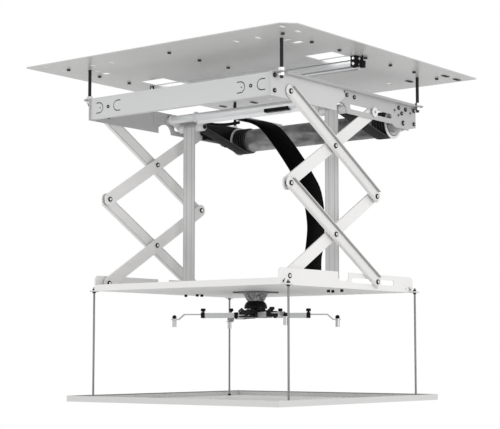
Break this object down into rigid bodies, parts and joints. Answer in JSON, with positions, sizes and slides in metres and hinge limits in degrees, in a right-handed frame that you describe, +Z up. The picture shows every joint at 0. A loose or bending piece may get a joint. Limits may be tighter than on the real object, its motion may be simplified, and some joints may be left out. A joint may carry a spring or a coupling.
{
  "type": "projector lift",
  "caption": "Ceiling-held projector lift: a belt-driven scissor lowers a platform with an adjustable projector bracket and a tray hung below on thin rods.",
  "frame": {"origin": "centre of the ceiling plate's top face, which bears on the ceiling", "axes": "+X runs along the front channel to the right, +Y points to the back, +Z points up to the ceiling"},
  "size_m": [0.8, 0.8, 0.8056],
  "materials": {
    "frame_paint": "light cool grey powder coat, satin",
    "plate_paint": "mid-light grey powder coat, soft gloss",
    "arm_paint": "off-white powder coat",
    "rail_aluminium": "drawn aluminium",
    "silver_tube": "bright drawn aluminium",
    "black_fittings": "black, matt",
    "ball_black": "black enamel, satin",
    "rod_dark": "dark steel with a thread",
    "bright_nuts": "bright zinc plate",
    "zinc_steel": "zinc-plated steel",
    "roller_white": "white nylon",
    "tube_grey": "dark grey, satin",
    "belt_dark": "charcoal webbing",
    "belt_light": "light grey webbing",
    "sleeve_black": "black braided sleeve",
    "drop_steel": "bright steel",
    "cone_grey": "mid grey, satin",
    "arm_silver": "satin aluminium",
    "foot_steel": "bright plated steel"
  },
  "bodies": {
    "frame": {"ceiling_plate": "plate_paint", "plate_collars": "black_fittings", "cross_rail": "rail_aluminium", "rail_fittings": "black_fittings", "hanger_rods": "rod_dark", "hanger_nuts": "bright_nuts", "front_channel": "frame_paint", "side_plate_right": "frame_paint", "side_plate_left": "frame_paint", "frame_screws": "bright_nuts", "cross_tube": "silver_tube", "cable_bar": "zinc_steel", "roller_brackets": "zinc_steel", "roller_axles": "zinc_steel", "motor_head": "black_fittings", "drum_supports": "zinc_steel", "belt_runs": "belt_dark", "cable_sleeve": "sleeve_black", "top_pivot_pins": "zinc_steel"},
    "belts": {"belt_right": "belt_light", "belt_left": "belt_light"},
    "guide_rollers": {"roller_right": "roller_white", "roller_left": "roller_white"},
    "drum": {"winding_tube": "tube_grey", "spool_flanges": "roller_white", "belt_coils": "belt_dark"},
    "upper_outer_arms": {"upper_outer_arm_right": "arm_paint", "upper_outer_arm_left": "arm_paint", "upper_outer_pins": "zinc_steel"},
    "upper_inner_arms": {"upper_inner_arm_right": "arm_paint", "upper_inner_arm_left": "arm_paint", "upper_inner_pins": "zinc_steel", "upper_slot_rollers": "roller_white"},
    "lower_inner_arms": {"lower_inner_arm_right": "arm_paint", "lower_inner_arm_left": "arm_paint", "lower_inner_pins": "zinc_steel"},
    "lower_outer_arms": {"lower_outer_arm_right": "arm_paint", "lower_outer_arm_left": "arm_paint", "lower_outer_pins": "zinc_steel", "lower_slot_rollers": "roller_white"},
    "platform": {"platform_tray": "frame_paint", "platform_bracket_right": "frame_paint", "platform_bracket_left": "frame_paint", "belt_clamps": "zinc_steel", "anchor_bolts": "black_fittings", "drop_rods": "drop_steel", "drop_nuts": "bright_nuts", "bottom_tray": "frame_paint", "bottom_pivot_pins": "zinc_steel", "bracket_cone": "cone_grey"},
    "bracket_collar": {"ball_cover": "ball_black"},
    "hub": {"bracket_hub": "ball_black"},
    "arm_right": {"reach_right": "arm_silver"},
    "arm_near": {"reach_near": "arm_silver"},
    "arm_left": {"reach_left": "arm_silver"},
    "arm_far": {"reach_far": "arm_silver"},
    "foot_bar_right": {"foot_right": "foot_steel"},
    "foot_bar_near": {"foot_near": "foot_steel"},
    "foot_bar_left": {"foot_left": "foot_steel"},
    "foot_bar_far": {"foot_far": "foot_steel"}
  },
  "joints": [
    {"name": "fold", "type": "hinge", "parent": "frame", "child": "upper_outer_arms", "pos_m": [0, -0.2365, -0.112], "axis": [1, 0, 0], "range_deg": [-21, 24.5], "deforming": ["cable_sleeve"]},
    {"name": "rear_middle_fold", "type": "hinge", "parent": "upper_outer_arms", "child": "lower_inner_arms", "pos_m": [0, 0.1116, -0.31705], "axis": [1, 0, 0], "range_deg": [-49, 42]},
    {"name": "platform_level", "type": "hinge", "parent": "lower_inner_arms", "child": "platform", "pos_m": [0, -0.2365, -0.52209], "axis": [1, 0, 0], "range_deg": [-21, 24.5]},
    {"name": "upper_crossing", "type": "hinge", "parent": "upper_outer_arms", "child": "upper_inner_arms", "pos_m": [0, -0.06245, -0.21452], "axis": [1, 0, 0], "range_deg": [-49, 42]},
    {"name": "lower_crossing", "type": "hinge", "parent": "lower_inner_arms", "child": "lower_outer_arms", "pos_m": [0, -0.06245, -0.41957], "axis": [1, 0, 0], "range_deg": [-42, 49]},
    {"name": "drum_turn", "type": "hinge", "parent": "frame", "child": "drum", "pos_m": [0, 0.243, -0.122], "axis": [1, 0, 0], "range_deg": [-428.3, 499.35]},
    {"name": "roller_turn", "type": "hinge", "parent": "frame", "child": "guide_rollers", "pos_m": [0, 0.0195, -0.114], "axis": [1, 0, 0], "range_deg": [-1467.1, 1257.8]},
    {"name": "belt_travel", "type": "slide", "parent": "frame", "child": "belts", "axis": [0, 0, 1], "range_m": [-0.258, 0.297], "deforming": ["belt_right", "belt_left"]},
    {"name": "bracket_pan", "type": "hinge", "parent": "platform", "child": "bracket_collar", "pos_m": [0, 0, -0.57409], "axis": [0, 0, 1], "range_deg": [-90, 90]},
    {"name": "bracket_tilt", "type": "hinge", "parent": "bracket_collar", "child": "hub", "pos_m": [0, 0, -0.57409], "axis": [1, 0, 0], "range_deg": [-7, 7]},
    {"name": "swing_right", "type": "hinge", "parent": "hub", "child": "arm_right", "pos_m": [0.02376, 0.01663, -0.59949], "axis": [0, 0, 1], "range_deg": [-15, 15]},
    {"name": "slide_right", "type": "slide", "parent": "arm_right", "child": "foot_bar_right", "axis": [0.8192, 0.5736, 0], "range_m": [-0.035, 0.025]},
    {"name": "swing_near", "type": "hinge", "parent": "hub", "child": "arm_near", "pos_m": [0.02376, -0.01663, -0.59949], "axis": [0, 0, 1], "range_deg": [-15, 15]},
    {"name": "slide_near", "type": "slide", "parent": "arm_near", "child": "foot_bar_near", "axis": [0.8192, -0.5736, 0], "range_m": [-0.035, 0.025]},
    {"name": "swing_left", "type": "hinge", "parent": "hub", "child": "arm_left", "pos_m": [-0.02376, -0.01663, -0.59949], "axis": [0, 0, 1], "range_deg": [-15, 15]},
    {"name": "slide_left", "type": "slide", "parent": "arm_left", "child": "foot_bar_left", "axis": [-0.8192, -0.5736, 0], "range_m": [-0.035, 0.025]},
    {"name": "swing_far", "type": "hinge", "parent": "hub", "child": "arm_far", "pos_m": [-0.02376, 0.01663, -0.59949], "axis": [0, 0, 1], "range_deg": [-15, 15]},
    {"name": "slide_far", "type": "slide", "parent": "arm_far", "child": "foot_bar_far", "axis": [-0.8192, 0.5736, 0], "range_m": [-0.035, 0.025]}
  ],
  "couplings": [
    {"joint": "rear_middle_fold", "follows": "fold", "ratio": -2},
    {"joint": "platform_level", "follows": "fold", "ratio": 1},
    {"joint": "upper_crossing", "follows": "fold", "ratio": -2},
    {"joint": "lower_crossing", "follows": "fold", "ratio": 2},
    {"joint": "drum_turn", "follows": "fold", "ratio": 20.3},
    {"joint": "roller_turn", "follows": "fold", "ratio": -59.8},
    {"joint": "belt_travel", "follows": "fold", "m_per_rad": 0.6878}
  ]
}
